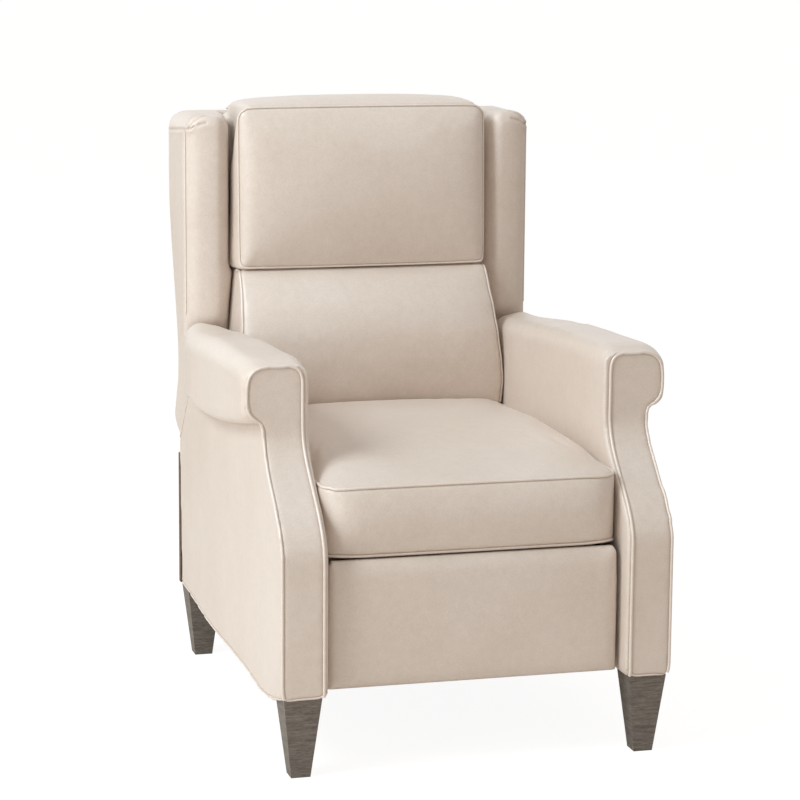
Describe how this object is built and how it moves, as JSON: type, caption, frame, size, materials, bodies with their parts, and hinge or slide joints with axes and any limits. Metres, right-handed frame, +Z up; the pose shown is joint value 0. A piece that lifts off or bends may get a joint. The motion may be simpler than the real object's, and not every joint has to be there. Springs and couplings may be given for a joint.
{
  "type": "recliner",
  "caption": "Push-back recliner with a winged back, rolled arms, a boxed seat cushion, tapered wooden legs and a fold-out footrest on a steel recline mechanism.",
  "frame": {"origin": "on the floor under the middle of the closed chair's bounding box", "axes": "+Z up, -Y the way a sitter faces, +X to the sitter's left"},
  "size_m": [0.77, 0.994, 1.098],
  "materials": {
    "ivory_leather": "smooth, satin",
    "frame_timber": "planed, unfinished",
    "leg_wood": "weathered grey-brown, satin",
    "deck_lining": "woven lining",
    "webbing": "elastic webbing",
    "painted_steel": "black, satin",
    "bright_steel": "zinc plated"
  },
  "bodies": {
    "base": {"arm_frame_left": "frame_timber", "arm_frame_right": "frame_timber", "outer_arm_panel_left": "ivory_leather", "outer_arm_panel_right": "ivory_leather", "inner_arm_panel_left": "ivory_leather", "inner_arm_panel_right": "ivory_leather", "arm_roll_left": "ivory_leather", "arm_roll_right": "ivory_leather", "arm_facing_left": "ivory_leather", "arm_facing_right": "ivory_leather", "leg_front_left": "leg_wood", "leg_front_right": "leg_wood", "leg_rear_left": "leg_wood", "leg_rear_right": "leg_wood", "leg_bolts": "bright_steel", "front_rail": "frame_timber", "rear_rail": "frame_timber", "rear_top_rail": "frame_timber", "rear_panel": "ivory_leather", "mechanism_plate_left": "painted_steel", "mechanism_plate_right": "painted_steel", "plate_screws": "bright_steel", "hinge_pins": "bright_steel", "glide_pins": "bright_steel"},
    "front_glide": {"front_glide_links": "painted_steel"},
    "rear_glide": {"rear_glide_links": "painted_steel"},
    "seat": {"seat_frame": "frame_timber", "seat_springs": "bright_steel", "seat_deck": "deck_lining", "seat_cushion": "ivory_leather", "seat_carrier_left": "painted_steel", "seat_carrier_right": "painted_steel", "carrier_pins": "bright_steel"},
    "lift": {"lift_links": "painted_steel", "torque_tube": "painted_steel", "lift_pins": "bright_steel"},
    "control": {"control_links": "painted_steel"},
    "coupler": {"coupler_plates": "painted_steel"},
    "reach": {"reach_links": "painted_steel"},
    "footrest": {"footrest_brackets": "painted_steel", "footrest_board": "frame_timber", "footrest_pad": "ivory_leather"},
    "back": {"back_frame": "frame_timber", "back_webbing": "webbing", "back_bracket_left": "painted_steel", "back_bracket_right": "painted_steel", "lower_back_pad": "ivory_leather", "wing_board_left": "frame_timber", "wing_board_right": "frame_timber", "wing_pad_left": "ivory_leather", "wing_pad_right": "ivory_leather", "wing_side_panel_left": "ivory_leather", "wing_side_panel_right": "ivory_leather", "outer_back_panel": "ivory_leather", "top_band": "ivory_leather", "head_cushion": "ivory_leather", "lumbar_cushion": "ivory_leather"}
  },
  "joints": [
    {"name": "back_recline", "type": "hinge", "parent": "base", "child": "back", "pos_m": [0, 0.341, 0.365], "axis": [-1, 0, 0], "range_deg": [0, 30]},
    {"name": "seat_glide", "type": "slide", "parent": "base", "child": "seat", "axis": [0, -1, 0], "range_m": [0, 0.0252]},
    {"name": "front_glide_swing", "type": "hinge", "parent": "base", "child": "front_glide", "pos_m": [0, -0.247, 0.22571], "axis": [1, 0, 0], "range_deg": [0, 13.15]},
    {"name": "rear_glide_swing", "type": "hinge", "parent": "base", "child": "rear_glide", "pos_m": [0, 0.123, 0.22571], "axis": [1, 0, 0], "range_deg": [0, 13.15]},
    {"name": "footrest_extend", "type": "hinge", "parent": "seat", "child": "lift", "pos_m": [0, -0.357, 0.335], "axis": [-1, 0, 0], "range_deg": [0, 69]},
    {"name": "control_swing", "type": "hinge", "parent": "seat", "child": "control", "pos_m": [0, -0.329, 0.316], "axis": [-1, 0, 0], "range_deg": [0, 69.1]},
    {"name": "coupler_turn", "type": "hinge", "parent": "lift", "child": "coupler", "pos_m": [0, -0.40653, 0.173], "axis": [-1, 0, 0], "range_deg": [-69.1, 0]},
    {"name": "reach_swing", "type": "hinge", "parent": "lift", "child": "reach", "pos_m": [0, -0.40653, 0.173], "axis": [-1, 0, 0], "range_deg": [-138.1, 0]},
    {"name": "footrest_turn", "type": "hinge", "parent": "reach", "child": "footrest", "pos_m": [0, -0.39176, 0.34176], "axis": [-1, 0, 0], "range_deg": [0, 159.1]}
  ],
  "couplings": [
    {"joint": "seat_glide", "follows": "back_recline", "m_per_rad": 0.047746},
    {"joint": "front_glide_swing", "follows": "back_recline", "ratio": 0.435},
    {"joint": "rear_glide_swing", "follows": "back_recline", "ratio": 0.435},
    {"joint": "control_swing", "follows": "footrest_extend", "ratio": 1},
    {"joint": "coupler_turn", "follows": "footrest_extend", "ratio": -1},
    {"joint": "reach_swing", "follows": "footrest_extend", "ratio": -2},
    {"joint": "footrest_turn", "follows": "footrest_extend", "ratio": 2.3043}
  ]
}
